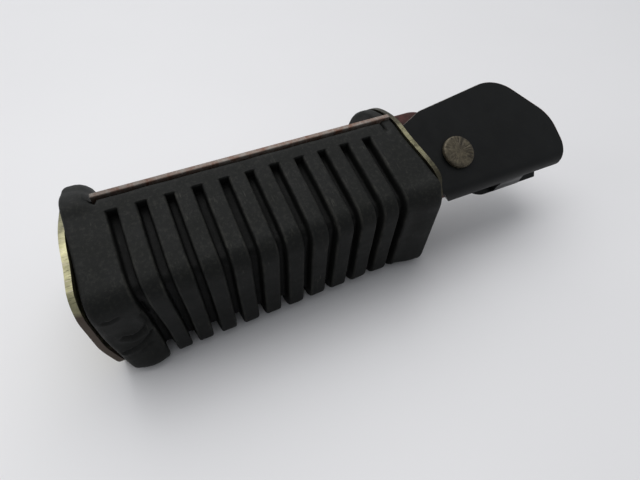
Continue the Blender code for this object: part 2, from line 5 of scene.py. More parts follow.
import bmesh
import bpy
import numpy as np
from bpy.props import FloatProperty, FloatVectorProperty, IntProperty, PointerProperty
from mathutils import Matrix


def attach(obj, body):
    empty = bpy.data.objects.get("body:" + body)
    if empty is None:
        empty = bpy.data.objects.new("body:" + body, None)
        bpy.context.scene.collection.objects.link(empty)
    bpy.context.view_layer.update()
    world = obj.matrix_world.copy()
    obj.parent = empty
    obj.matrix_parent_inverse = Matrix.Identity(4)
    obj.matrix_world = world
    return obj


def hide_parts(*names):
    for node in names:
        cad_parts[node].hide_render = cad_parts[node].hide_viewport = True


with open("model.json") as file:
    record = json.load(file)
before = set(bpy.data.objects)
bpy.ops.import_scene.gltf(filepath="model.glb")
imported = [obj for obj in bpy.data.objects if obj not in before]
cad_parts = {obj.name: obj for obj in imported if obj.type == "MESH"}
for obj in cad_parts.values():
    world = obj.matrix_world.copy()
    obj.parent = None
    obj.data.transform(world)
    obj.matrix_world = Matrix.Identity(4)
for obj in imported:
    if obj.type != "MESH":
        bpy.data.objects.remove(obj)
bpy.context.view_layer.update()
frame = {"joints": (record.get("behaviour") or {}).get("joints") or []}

bl_info = {
    "name": "Motorcycle Passenger Footpeg",
    "version": (1, 0, 0),
    "blender": (4, 5, 0),
    "location": "View3D > Sidebar > Footpeg",
    "description": "Builds a worn folding footpeg with a ribbed rubber grip on a pressed bracket",
    "category": "Add Mesh",
}

MM = 0.001
JOINT = frame["joints"][0]
HINGE = np.array(JOINT["pos_m"])
HINGE_LEAN = math.atan2(-JOINT["axis"][1], JOINT["axis"][2])
SHIM, TAIL_RING = 0.8 * MM, 1.2 * MM    # thickness of the shim and of the tail's washer
TAIL, TAIL_RISE = 5.4 * MM, 1.8 * MM    # radius and height of the pin's peened tail
RIPPLE = 1.3 * MM                       # from one ripple of a weld bead to the next


# ---------------------------------------------------------------- colours and sizes

def linear(code):
    """Linear colour of an sRGB hex value: the low end is divided, the rest is raised to 2.4."""
    parts = [int(code[k:k + 2], 16) / 255 for k in (1, 3, 5)]
    return tuple(p / 12.92 if p <= 0.04045 else ((p + 0.055) / 1.055) ** 2.4 for p in parts)


def length(name, description, millimetres):
    """A property that holds one length of the object."""
    return FloatProperty(name=name, description=description, default=millimetres * MM,
                         min=0.0, unit="LENGTH", precision=4)


def tone(name, description, code):
    """A property that holds one colour of the object."""
    return FloatVectorProperty(name=name, description=description, default=linear(code),
                               subtype="COLOR", min=0.0, max=1.0)


class GripSizes(bpy.types.PropertyGroup):
    """Sizes of the rubber grip."""
    long: length("Length", "Length of the rubber between the end plates", 100.0)
    deep: length("Depth", "From the tread to the base plate", 31.0)
    tread: length("Tread width", "Width of the tread", 35.0)
    lean: FloatProperty(name="Side taper", description="How far each side spreads towards the base",
                        default=math.radians(9.4), unit="ROTATION")
    corner: length("Tread corner", "Radius of the tread's corners", 6.3)
    foot: length("Base corner", "Radius of the corners beside the base plate", 1.5)
    end_edge: length("End edge", "Radius of the edges beside the end plates", 1.3)
    flange: length("Flange", "Thickness of the end flanges", 3.8)
    flange_edge: length("Flange edge", "Radius of a flange's inner edge", 1.3)
    outer_flange: length("Outer flange", "Thickness of the outer end's swollen flange", 8.0)
    outer_curve: length("Outer flange edge", "Radius of the outer flange's inner edge", 4.6)
    grooves: IntProperty(name="Grooves", description="Number of grooves", default=11, min=1, max=30)
    pitch: length("Pitch", "From one groove to the next", 7.6)
    groove: length("Groove width", "Width of a groove", 2.5)
    sink: length("Groove depth", "Depth of a groove", 3.6)
    lip: length("Groove lip", "Worn rounding of the ribs' edges", 0.62)
    margin: length("Groove margin", "From a groove's end to the base", 5.1)
    outer_lap: length("Outer lap", "Depth at which the swollen outer flange leaves the sides", 29.5)
    bulge: length("Bent edge", "How far the inner end's edge is bent out", 2.0)
    press: length("Press", "How far the ribs by the outer corner are pressed along the grip", 2.4)


class PlateSizes(bpy.types.PropertyGroup):
    """Sizes of the end plates, the base plate and its stiffener."""
    sheet: length("Sheet", "Thickness of the end plates and the base plate", 1.6)
    round_radius: length("Round radius", "Radius of the end plates' round side", 21.0)
    round_start: length("Round start", "Depth at which the end plates leave the grip's sides", 25.0)
    round_turn: FloatProperty(name="Round turn", description="Half angle of the round side",
                              default=math.radians(68), unit="ROTATION")
    outer_radius: length("Outer round radius", "Radius of the outer plate's round side", 16.2)
    outer_start: length("Outer round start",
                        "Depth at which the outer plate leaves the sides", 15.0)
    setback: length("Tread setback", "From the tread to the end plates' edge", 1.5)
    corner: length("Plate corner", "Radius of the end plates' corners at the tread", 8.5)
    tab: length("Tab width", "Width of the base plate's tabs", 28.0)
    channel_width: length("Stiffener width", "Width of the stiffener", 18.0)
    channel_height: length("Stiffener height", "Height of the stiffener", 8.0)
    channel_sheet: length("Stiffener sheet", "Thickness of the stiffener", 2.0)
    gap: length("Clearance", "Clearance between pieces that touch", 0.3)


class BracketSizes(bpy.types.PropertyGroup):
    """Sizes of the bracket, the hinge and its pin."""
    sheet: length("Sheet", "Thickness of the bracket", 2.8)
    bend: length("Bend", "Inner radius of the bracket's bends", 1.2)
    inner: length("Inner half width", "From the bracket's middle to an ear's inner face", 6.1)
    ear: length("Ear length", "From the hinge to the ears' inboard end", 42.2)
    plate_face: length("Plate's outer face",
                       "From the rubber's end to the inner plate's outer face", 1.9)
    from_plate: length("Hinge to plate", "From the hinge to the inner end plate", 16.0)
    from_tread: length("Hinge to tread", "From the hinge to the tread", 19.4)
    across: length("Hinge offset", "From the grip's middle to the hinge", 6.1)
    sweep: length("Sweep radius", "Radius of the ears' corner that clears the end plate", 15.2)
    crest_x: length("Crest along", "From the hinge to the ears' crest, along the bracket", 26.9)
    crest_y: length("Crest height", "From the hinge to the ears' crest, across the bracket", 22.2)
    heel: length("Heel height", "Where the ears' slope meets their inboard end", 3.4)
    shoulder: length("Shoulder height", "Height of the ears' shoulder above the hinge", 17.4)
    stop: length("Stop height", "Height of the stop nose above the hinge", 13.7)
    tread_side: length("Tread side", "From the hinge to the web's outer face", 14.0)
    web_start: length("Web start", "From the hinge to the web, by the pin's head", 13.4)
    web_slant: length("Web slant", "How much later the web starts by the pin's tail", 4.6)
    web_end: length("Web end", "From the hinge to the web's inboard end, by the pin's tail", 29.8)
    web_skew: length("Web skew", "How much sooner the web ends by the pin's head", 6.5)
    web_sag: length("Web sag", "How far the web is pressed out by the pin's tail", 0.35)
    relief: length("Relief step", "From the tail ear's cut-back to the web's start", 3.3)
    pin: length("Pin", "Diameter of the hinge pin", 8.0)
    head: length("Pin head", "Diameter of the pin's head", 11.0)
    toe: length("Toe radius", "Radius of the ears' lower inboard corner", 12.0)
    head_rise: length("Head height", "Height of the pin's head", 1.5)
    lug: length("Lug thickness", "Thickness of the hinge lug", 9.4)
    lug_tall: length("Lug height", "From the hinge to the lug's top", 19.8)
    lug_nose: length("Lug nose", "Radius of the lug's round nose", 10.8)


class Finishes(bpy.types.PropertyGroup):
    """Colours of the object's materials."""
    rubber: tone("Rubber", "Charcoal rubber", "#121312")
    bloom: tone("Bloom", "Greyed skin of old rubber", "#181917")
    dust: tone("Dust", "Dust on the rubber and the paint", "#4e4d47")
    zinc: tone("Zinc", "Yellowed zinc plating", "#aaa683")
    steel: tone("Steel", "Bare steel", "#837b74")
    rust: tone("Rust", "Brown rust", "#5c3d2e")
    paint: tone("Paint", "Satin black paint", "#0c0d0d")
    grime: tone("Grime", "Dark oily dirt", "#2a2620")


class StageSettings(bpy.types.PropertyGroup):
    """The camera, the lamps and the table."""
    place: FloatVectorProperty(name="Camera place", description="Where the camera stands",
                               default=(-0.054354, -0.108088, 0.119327), subtype="TRANSLATION",
                               precision=5)
    turn: FloatVectorProperty(name="Camera turn", description="How the camera is turned",
                              default=tuple(math.radians(a) for a in (45.4808, 1.105, -25.2237)),
                              subtype="EULER")
    lens: FloatProperty(name="Lens", description="Focal length on a 36 mm sensor, in mm",
                        default=25.563)
    table: tone("Table", "Colour of the table", "#e4e3e4")
    key: FloatProperty(name="Key light", description="Power of the large lamp", default=11.0,
                       unit="POWER")
    sky: FloatProperty(name="Fill light", description="Strength of the light all round",
                       default=0.42)


# ---------------------------------------------------------------- outlines

def subdivide(path, step, closed):
    """Points added along each straight run of a path, so that none is longer than the step."""
    ahead = (np.roll(path, -1, axis=0) if closed else np.vstack((path[1:], path[-1:]))) - path
    pieces = np.maximum(1, np.ceil(np.hypot(*ahead.T) / step - 1e-6)).astype(int)
    order = np.arange(pieces.sum()) - np.repeat(np.cumsum(pieces) - pieces, pieces)
    share = (order / np.repeat(pieces, pieces))[:, None]
    return np.repeat(path, pieces, axis=0) + np.repeat(ahead, pieces, axis=0) * share


def fillets(corners, step, closed=True):
    """A path through corners (x, y, radius): straight runs joined by arcs tangent to both sides."""
    parts = []
    count = len(corners)
    for index, (x, y, radius) in enumerate(corners):
        here = np.array((x, y))
        back = np.array(corners[index - 1][:2]) - here
        ahead = np.array(corners[(index + 1) % count][:2]) - here
        spans = (np.hypot(*back), np.hypot(*ahead))
        back, ahead = back / spans[0], ahead / spans[1]
        half = math.acos(np.clip(back @ ahead, -1, 1)) / 2
        if radius <= 0 or half > math.radians(89):
            parts.append(here[None])
            continue
        reach = min(radius / math.tan(half), 0.49 * min(spans))
        fillet = reach * math.tan(half)
        middle = here + (back + ahead) / np.hypot(*(back + ahead)) * fillet / math.sin(half)
        first, last = here + back * reach - middle, here + ahead * reach - middle
        start = math.atan2(first[1], first[0])
        sweep = (math.atan2(last[1], last[0]) - start + math.pi) % (2 * math.pi) - math.pi
        steps = max(4, math.ceil(abs(sweep) * fillet / step))
        angle = start + sweep * np.linspace(0, 1, steps + 1)[:, None]
        parts.append(middle + fillet * np.hstack((np.cos(angle), np.sin(angle))))
    return subdivide(np.vstack(parts), step, closed)


def walk(path, at):
    """Points on an open path at distances from its start, read between its own points."""
    run = np.concatenate(([0.0], np.cumsum(np.hypot(*np.diff(path, axis=0).T))))
    return np.stack([np.interp(at, run, path[:, k]) for k in (0, 1)], axis=1), run[-1]


def outward(outline):
    """Unit normals of a closed outline, each square to the chord between its neighbours."""
    chord = np.roll(outline, -1, axis=0) - np.roll(outline, 1, axis=0)
    normal = np.stack((chord[:, 1], -chord[:, 0]), axis=1) / np.hypot(*chord.T)[:, None]
    middle = outline.mean(axis=0)
    return normal * np.sign(((outline - middle) * normal).sum())


def ease(value, low, high):
    """A smooth rise from 0 at low to 1 at high: 3 t squared less 2 t cubed."""
    t = np.clip((value - low) / (high - low), 0, 1)
    return t * t * (3 - 2 * t)


def wander(points, span, seed):
    """A smooth random height: the sum of twelve sine waves about span long, in random ways."""
    draw = np.random.default_rng(seed)
    ways = draw.normal(size=(12, points.shape[-1]))
    counts = 2 * math.pi / span * (0.6 + 0.8 * draw.random(12))
    ways *= (counts / np.linalg.norm(ways, axis=1))[:, None]
    return np.sin(points @ ways.T + 2 * math.pi * draw.random(12)).sum(axis=-1) / 6


def half_width(s, depth):
    """Half the grip's width at a depth: half the tread, and the depth times the side's slope."""
    return s.tread / 2 + depth * math.tan(s.lean)


def tread_path(s, start, step, setback, corner):
    """The grip's near side, tread and far side as (depth, across), up to a start depth."""
    side, top = half_width(s, start), half_width(s, setback)
    corners = [(start, -side, 0), (setback, -top, corner), (setback, top, corner), (start, side, 0)]
    path = fillets(corners, step, closed=False)
    return path[:np.argmin(np.hypot(*(path - (start, side)).T)) + 1]


def round_path(s, p, depth, radius):
    """The peg's round base side: a Bezier curve off each side of the grip, and an arc between."""
    start = np.array((depth, half_width(s, depth)))
    end = np.array((s.deep + radius * math.cos(p.round_turn), radius * math.sin(p.round_turn)))
    reach = 0.36 * np.hypot(*(start - end))
    leave = start + reach * np.array((math.cos(s.lean), math.sin(s.lean)))
    arrive = end + reach * np.array((-math.sin(p.round_turn), math.cos(p.round_turn)))
    t = np.linspace(0, 1, 24)[:-1, None]
    curve = ((1 - t) ** 3 * start + 3 * t * (1 - t) ** 2 * leave
             + 3 * t * t * (1 - t) * arrive + t ** 3 * end)
    turn = np.linspace(p.round_turn, -p.round_turn, 90)[:, None]
    arc = np.hstack((s.deep + radius * np.cos(turn), radius * np.sin(turn)))
    return np.vstack((curve, arc, curve[::-1] * (1, -1)))


def plate_outline(s, p, step, depth, radius):
    """An end plate's outline: set back from the grip's tread, and closed by the round base side."""
    near = tread_path(s, depth, step, p.setback, p.corner)
    path = round_path(s, p, depth, radius)
    far = walk(path, np.arange(step, walk(path, [0])[1] - step / 2, step))[0]
    return np.vstack((near, far))


# ---------------------------------------------------------------- places

def on_peg(points, s, b):
    """Grip points (along, depth, across) in the part's frame, turned by the side taper."""
    hinge = (s.long / 2 + b.plate_face + b.from_plate, b.from_tread, b.across)
    return turned(points - hinge, s.lean)


def on_table(points):
    """Points kept just above the table."""
    points[..., 2] = np.maximum(points[..., 2], 0.05 * MM)
    return points


def turned(points, lean):
    """Points turned by an angle about the X axis through the hinge."""
    c, k = math.cos(lean), math.sin(lean)
    x, y, z = np.moveaxis(points, -1, 0)
    return np.stack((x, y * c - z * k, y * k + z * c), axis=-1) + HINGE


# ---------------------------------------------------------------- meshes

def quads(rows, columns, closed):
    """Corners of a grid's quads; a closed grid joins its last column to its first."""
    a = np.arange(rows - 1)[:, None] * columns
    b = np.arange(columns if closed else columns - 1)[None]
    c = (b + 1) % columns
    return np.stack(np.broadcast_arrays(a + b, a + c, a + columns + c, a + columns + b),
                    axis=-1).reshape(-1, 4).tolist()


def tube(grid):
    """Quads between the rings of a (rings, points, 3) grid, and a flat face over each end."""
    rings, around = grid.shape[:2]
    last = (rings - 1) * around
    return quads(rings, around, True) + [list(range(around)), list(range(last, last + around))]


def piece(name, body, nodes, look, points, faces, marks=None, sheet=0.0, edge=0.0, rounds=3):
    """A named piece that stands for its nodes; a sheet is thickened about its middle and edged."""
    mesh = bpy.data.meshes.new(name)
    mesh.from_pydata(points.reshape(-1, 3).tolist(), [], faces)
    for title, values in (marks or {}).items():
        mark = mesh.attributes.new(title, "FLOAT", "POINT")
        mark.data.foreach_set("value", np.asarray(values, np.float32).ravel())
    shape = bmesh.new()
    shape.from_mesh(mesh)
    bmesh.ops.remove_doubles(shape, verts=shape.verts, dist=1e-6)
    bmesh.ops.recalc_face_normals(shape, faces=shape.faces)
    shape.to_mesh(mesh)
    shape.free()
    mesh.shade_smooth()
    mesh.materials.append(look)
    made = bpy.data.objects.new(name, mesh)
    bpy.context.scene.collection.objects.link(made)
    if sheet:
        wall = made.modifiers.new("Sheet", "SOLIDIFY")
        wall.thickness = sheet
        wall.offset = 0.0
        wall.use_even_offset = True
    if edge:
        rim = made.modifiers.new("Edges", "BEVEL")
        rim.width = edge
        rim.segments = rounds
        rim.limit_method = "ANGLE"
        rim.angle_limit = math.radians(50)
        rim.harden_normals = True
    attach(made, body)
    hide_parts(*nodes)
    return made


# ---------------------------------------------------------------- materials

def add(tree, kind, inputs=None, out=0, **settings):
    """Add a node with its settings, and feed its sockets with values or other nodes' outputs."""
    made = tree.nodes.new("ShaderNode" + kind)
    for name, value in settings.items():
        setattr(made, name, value)
    for key, value in (inputs or {}).items():
        if isinstance(value, bpy.types.NodeSocket):
            tree.links.new(value, made.inputs[key])
        else:
            made.inputs[key].default_value = value
    return None if out is None else made.outputs[out]


def started(name):
    """An empty material, its node tree and its Object coordinates."""
    made = bpy.data.materials.new(name)
    made.use_nodes = True
    made.node_tree.nodes.clear()
    return made, made.node_tree, add(made.node_tree, "TexCoord", out="Object")


def ended(tree, sockets):
    """A Principled shader on the material's output."""
    add(tree, "OutputMaterial", {"Surface": add(tree, "BsdfPrincipled", sockets)}, out=None)


def rgba(colour, gain=1.0):
    """A colour property as a shader colour, brightened or darkened by a gain."""
    return (*(min(1.0, c * gain) for c in colour), 1.0)


def noise(tree, place, size, detail, roughness):
    """Noise whose features are about size millimetres across."""
    return add(tree, "TexNoise", {"Vector": place, "Scale": 1 / (size * MM), "Detail": detail,
                                  "Roughness": roughness})


def drawn(tree, place, scale, turn=(0, 0, 0)):
    """Coordinates drawn out along an axis by a scale below 1."""
    return add(tree, "Mapping", {"Vector": place, "Rotation": turn, "Scale": scale})


def ramp(tree, value, low, high, bottom=0.0, top=1.0, **settings):
    """A value rescaled from low and high to bottom and top, and held there outside them."""
    return add(tree, "MapRange", {"Value": value, "From Min": low, "From Max": high,
                                  "To Min": bottom, "To Max": top}, **settings)


def mix(tree, share, first, second):
    """Two colours, mixed by the second one's share."""
    return add(tree, "Mix", {0: share, 6: first, 7: second}, out=2, data_type="RGBA")


def times(tree, first, second):
    """The product of two values."""
    return add(tree, "Math", {0: first, 1: second}, operation="MULTIPLY")


def plus(tree, first, second):
    """The sum of two values."""
    return add(tree, "Math", {0: first, 1: second}, operation="ADD")


def kept(tree, name):
    """A value that the mesh keeps at its points."""
    return add(tree, "Attribute", attribute_name=name, out="Fac")


def upward(tree):
    """How far a face looks up, from -1 to 1."""
    return add(tree, "SeparateXYZ", {0: add(tree, "TexCoord", out="Normal")}, out=2)


def bumped(tree, height, strength, millimetres):
    """A normal tilted by a height that rises so many millimetres."""
    return add(tree, "Bump", {"Height": height, "Strength": strength,
                              "Distance": millimetres * MM})


def moulded_rubber(f):
    """Carbon-filled natural rubber, compression moulded: dull charcoal and scuffed, with dust on
    top and its upward faces painted paler as light from above.
    """
    made, tree, place = started("moulded_rubber")
    # Cloudy bloom about 9 mm across, and mould grain drawn 0.5 mm across so that it shows
    cloud, grain = noise(tree, place, 9, 5, 0.62), noise(tree, place, 0.5, 3, 0.7)
    # Faces that look up get more of the grey bloom: a painted light from above that makes the top
    # side paler
    face = ramp(tree, upward(tree), -0.3, 0.9, 0.15)
    bloom_and_top_light = times(tree, ramp(tree, cloud, 0.34, 0.72), face)
    colour = mix(tree, bloom_and_top_light, rgba(f.rubber), rgba(f.bloom))
    # Scuffs: short streaks along the ribs, 0.25 mm wide and 4 mm long
    slant = drawn(tree, place, (1, 0.12, 0.12), (0.5, 0.2, 0.35))
    streak, patch = noise(tree, slant, 0.5, 2, 0.5), noise(tree, place, 5, 3, 0.7)
    scuff = times(tree, ramp(tree, streak, 0.6, 0.78), ramp(tree, patch, 0.5, 0.7))
    colour = mix(tree, times(tree, scuff, 0.8), colour, rgba(f.dust))
    # Dust settles in speckles on faces that look up
    fleck = ramp(tree, noise(tree, place, 1.1, 4, 0.8), 0.5, 0.86, 0, 0.4)
    colour = mix(tree, times(tree, fleck, face), colour, rgba(f.dust))
    # Painted shade darkens the grooves and tears below the rubber's own colour, and the ribs' edges
    # are painted a little paler, partly as rubbed wear and partly as a painted highlight
    colour = mix(tree, times(tree, kept(tree, "sunk"), 0.55), colour, rgba(f.rubber, 0.45))
    # Rib edges painted paler: partly rubbed wear, partly a painted highlight
    rub_and_highlight = times(tree, kept(tree, "lip"), ramp(tree, patch, 0.4, 0.7, 0, 0.22))
    colour = mix(tree, rub_and_highlight, colour, rgba(f.dust))
    height = plus(tree, grain, times(tree, scuff, -0.5))
    ended(tree, {"Base Color": colour, "Roughness": ramp(tree, cloud, 0.3, 0.7, 0.52, 0.7),
                 "IOR": 1.52, "Specular IOR Level": 0.14,
                 "Normal": bumped(tree, height, 0.35, 0.12)})
    return made


def zinc_plate(f):
    """Blanked steel, zinc plated and yellow passivated: dull gold, scratched, dirty low down."""
    made, tree, place = started("passivated_zinc_plate")
    cloud = noise(tree, place, 4, 5, 0.65)
    colour = mix(tree, ramp(tree, cloud, 0.35, 0.7), rgba(f.zinc, 0.55), rgba(f.zinc, 1.3))
    # Shearing marks across the blanked edge, about 0.3 mm apart
    shear = noise(tree, drawn(tree, place, (0.12, 1, 1)), 0.35, 2, 0.6)
    colour = mix(tree, ramp(tree, shear, 0.56, 0.7, 0, 0.7), colour, rgba(f.steel, 1.5))
    colour = mix(tree, ramp(tree, shear, 0.42, 0.3, 0, 0.75), colour, rgba(f.grime))
    # Brown-grey where the plating has gone, low down
    rust = ramp(tree, plus(tree, kept(tree, "rusty"), cloud), 0.72, 1.1,
                interpolation_type="SMOOTHSTEP")
    colour = mix(tree, rust, colour, rgba(linear("#4c4138")))
    # Oily dirt hides most of the inner plate's edge
    dirt = ramp(tree, plus(tree, kept(tree, "oily"), cloud), 0.8, 1.2, 0, 0.9)
    colour = mix(tree, dirt, colour, rgba(f.grime))
    ended(tree, {"Base Color": colour, "Metallic": ramp(tree, rust, 0, 1, 0.9, 0.25),
                 "Roughness": ramp(tree, rust, 0, 1, 0.36, 0.75),
                 "Normal": bumped(tree, shear, 0.4, 0.1)})
    return made


def weathered_steel(f):
    """Sheared mild steel plate that lost its plating: pinkish grey, with rust along its edges."""
    made, tree, place = started("weathered_sheared_steel")
    cloud = noise(tree, place, 3, 6, 0.7)
    colour = mix(tree, ramp(tree, cloud, 0.4, 0.66), rgba(f.steel), rgba(f.rust, 1.3))
    # Shear streaks 0.4 mm wide
    shear = noise(tree, drawn(tree, place, (1, 0.15, 0.15)), 0.4, 2, 0.6)
    colour = mix(tree, ramp(tree, shear, 0.58, 0.72, 0, 0.6), colour, rgba(f.steel, 1.7))
    # Boots leave more dirt towards the outer end
    along = add(tree, "SeparateXYZ", {0: place}, out=0)
    colour = mix(tree, ramp(tree, along, -30 * MM, -72 * MM, 0, 0.42), colour, rgba(f.grime))
    ended(tree, {"Base Color": colour, "Metallic": 0.55, "Roughness": 0.52,
                 "Normal": bumped(tree, cloud, 0.4, 0.15)})
    return made


def black_paint(f):
    """Dipped black enamel on pressed steel: satin, faintly rippled, pale at its upper edges, partly
    from worn paint and partly a painted highlight.
    """
    made, tree, place = started("black_enamel")
    cloud, chip = noise(tree, place, 6, 6, 0.65), noise(tree, place, 1.6, 5, 0.72)
    colour = mix(tree, ramp(tree, cloud, 0.4, 0.75), rgba(f.paint), rgba(f.paint, 1.5))
    fleck = ramp(tree, chip, 0.62, 0.8, 0, 0.3)
    dust = times(tree, fleck, ramp(tree, upward(tree), 0.2, 0.9))
    colour = mix(tree, dust, colour, rgba(f.dust, 0.6))
    # Bare metal along the edges, with a ragged border: partly real paint wear, partly a painted
    # highlight where the top edges catch light
    ragged = plus(tree, kept(tree, "edge"), ramp(tree, chip, 0, 1, -0.45, 0.45))
    bare = ramp(tree, ragged, 0.78, 0.98, interpolation_type="SMOOTHSTEP")
    metal = mix(tree, kept(tree, "rusty"), rgba(f.steel), rgba(f.rust, 0.9))
    colour = mix(tree, bare, colour, metal)
    # Orange peel about 1.2 mm across, with the paint standing proud of worn metal
    height = plus(tree, noise(tree, place, 1.2, 2, 0.5), times(tree, bare, -0.6))
    ended(tree, {"Base Color": colour, "Metallic": times(tree, bare, 0.6),
                 "Roughness": ramp(tree, cloud, 0.3, 0.7, 0.36, 0.5), "IOR": 1.5,
                 "Specular IOR Level": 0.2, "Normal": bumped(tree, height, 0.3, 0.06)})
    return made


def rusted_steel(f):
    """Cut steel bar under surface rust: brown red, matt and finely pitted."""
    made, tree, place = started("rusted_steel")
    cloud, pits = noise(tree, place, 2.5, 6, 0.7), noise(tree, place, 0.4, 4, 0.75)
    colour = mix(tree, ramp(tree, cloud, 0.36, 0.66), rgba(linear("#3a2522")),
                 rgba(linear("#5e3530")))
    colour = mix(tree, ramp(tree, pits, 0.55, 0.75, 0, 0.5), colour, rgba(f.grime))
    ended(tree, {"Base Color": colour, "Metallic": 0.15, "Roughness": 0.72,
                 "Normal": bumped(tree, pits, 0.5, 0.15)})
    return made


def peened_pin(f):
    """Turned steel pin with a struck head: dull brown steel, radial dents lined with grime."""
    made, tree, place = started("peened_steel_pin")
    cloud = noise(tree, place, 1.6, 6, 0.72)
    colour = mix(tree, ramp(tree, cloud, 0.36, 0.66), rgba(linear("#3b352b")),
                 rgba(linear("#665e4d")))
    colour = mix(tree, ramp(tree, kept(tree, "dent"), 0, 1, 0, 0.5), colour, rgba(f.grime))
    ended(tree, {"Base Color": colour, "Metallic": 0.6, "Roughness": 0.5,
                 "Normal": bumped(tree, cloud, 0.5, 0.12)})
    return made


def weld_metal(f):
    """Arc weld, left as laid: brown-grey scaly steel with heat-darkened patches."""
    made, tree, place = started("arc_weld_metal")
    cloud = noise(tree, place, 1.5, 5, 0.7)
    colour = mix(tree, ramp(tree, cloud, 0.38, 0.64), rgba(f.grime, 1.4), rgba(f.steel, 0.6))
    ended(tree, {"Base Color": colour, "Metallic": 0.6, "Roughness": 0.5,
                 "Normal": bumped(tree, cloud, 0.5, 0.15)})
    return made


def spring_steel(f):
    """Stamped and oiled spring steel: dark grey and faintly mottled."""
    made, tree, place = started("oiled_spring_steel")
    cloud = noise(tree, place, 2, 5, 0.6)
    colour = mix(tree, ramp(tree, cloud, 0.4, 0.7), rgba(f.steel, 0.45), rgba(f.grime, 1.5))
    ended(tree, {"Base Color": colour, "Metallic": 0.8, "Roughness": 0.42,
                 "Normal": bumped(tree, cloud, 0.3, 0.08)})
    return made


def table_top(g):
    """Laminate table top: near white, with a faint gloss."""
    made, tree, place = started("pale_laminate")
    colour = mix(tree, noise(tree, place, 90, 3, 0.5), rgba(g.table), rgba(g.table, 0.97))
    ended(tree, {"Base Color": colour, "Roughness": 0.32, "IOR": 1.45, "Specular IOR Level": 0.35})
    return made


# ---------------------------------------------------------------- rubber grip

# Tears in the outer end's tread corner: width, depth and points (along, across), all in mm
TEARS = (
    (0.42, 0.8, (-47.2, -5.1), (-45.0, -4.5), (-42.0, -3.5), (-39.1, -1.2), (-38.4, 0.3)),
    (0.35, 0.4, (-42.7, -5.9), (-39.6, -4.3)),
    (0.4, 0.5, (-47.7, 11.5), (-46.1, 10.8), (-43.8, 11.6)),
    (0.6, 0.9, (-38.7, 9.4), (-38.2, 4.8), (-40.1, 1.7), (-43.3, 0.4), (-45.3, 1.5)),
)


def bent_out(u, w, s):
    """How far the inner end is bent out at (depth, across) in mm: most at the tread and sides."""
    side = ease(np.abs(w), 13.5, 18) * (1 - ease(u, 7, 27))
    return s.bulge * np.maximum(side, 0.6 * ease(-u, -8, -3))


def bent_in(u, w):
    """How far the outer plate leans in at (depth, across) in mm: out above, in at the corner."""
    return (2.3 * ease(-w, 0, 18) - 0.7) * (1 - ease(u, 4, 16)) * MM


def end_rows(s, flange, curve):
    """Rows of one end: its flat face, a quarter round, the flange, its inner edge, the step down.

    A quarter round's distance in from its face is its radius less the radius times a sine.
    """
    end, inner = s.long / 2, s.long / 2 - flange
    turn = np.radians((90, 90, 90, 90, 67.5, 45, 22.5, 0))
    face = end - s.end_edge * (1 - np.sin(turn))
    still = np.zeros(8)
    size = np.array((0.58, 0.74, 0.88, 1, 1, 1, 1, 1))
    curl = np.radians((0, 18, 36, 54, 72, 90))
    rim = inner + curve * (1 - np.sin(curl))
    flat = np.arange(inner + curve + 0.5 * MM, face[-1] - 0.2 * MM, 0.6 * MM)[::-1]
    steps = np.array((0.25, 0.5, 0.75, 1.0))
    count = len(flat) + len(curl) + len(steps)
    none, level = np.zeros(count), np.zeros(len(flat))
    return np.vstack((
        np.column_stack((face, face, s.end_edge * (1 - np.cos(turn)), still, still, still, size)),
        np.column_stack((np.concatenate((flat, rim, inner - 0.02 * MM * steps)),
                         np.linspace(face[-1] - 0.3 * MM, inner - 0.6 * MM, count), none,
                         np.concatenate((level, curve * (1 - np.cos(curl)), np.full(4, curve))),
                         np.concatenate((level, 0 * curl, steps)), none, none + 1)),
    ))


def grip_rows(s):
    """Rows along the grip: two places along, end and base rounding, blend, groove depth and size.

    Each groove is a wall down from a worn lip, a filleted floor and the wall back.
    """
    outer, inner, half = s.long / 2 - s.outer_flange, s.long / 2 - s.flange, s.groove / 2
    out = half + s.lip * np.array((1.3, 0.85, 0.45, 0.15, 0.0))
    down = s.lip * np.array((0.0, 0.08, 0.32, 0.75, 1.5))
    wall = np.array(((half, 0.55), (half - 0.04 * MM, 0.82), (half - 0.2 * MM, 0.94),
                     (half - 0.6 * MM, 1.0)))
    side = np.vstack((np.column_stack((out, down)), wall * (1, s.sink)))
    slot = np.vstack((side * (-1, 1), ((0, s.sink),), side[::-1]))
    middles = (np.arange(s.grooves) - (s.grooves - 1) / 2) * s.pitch
    along = (middles[:, None] + slot[:, 0]).ravel()
    depth = np.tile(slot[:, 1], s.grooves)
    marks = np.concatenate(([-outer + 0.6 * MM], along, [inner - 0.6 * MM]))
    tops = np.concatenate([np.linspace(a, b, max(2, round((b - a) / (0.7 * MM))) + 1)[1:-1]
                           for a, b in zip(marks, marks[1:]) if b - a > 1.2 * MM])
    body = np.concatenate((along, tops))
    order = np.argsort(body, kind="stable")
    body, depth = body[order], np.concatenate((depth, np.zeros(len(tops))))[order]
    none = np.zeros(len(body))
    block = np.column_stack((body, body, none, none, none + 1, depth, none + 1))
    left = end_rows(s, s.outer_flange, s.outer_curve) * (-1, -1, 1, 1, 1, 1, 1)
    return np.vstack((left, block, end_rows(s, s.flange, s.flange_edge)[::-1]))


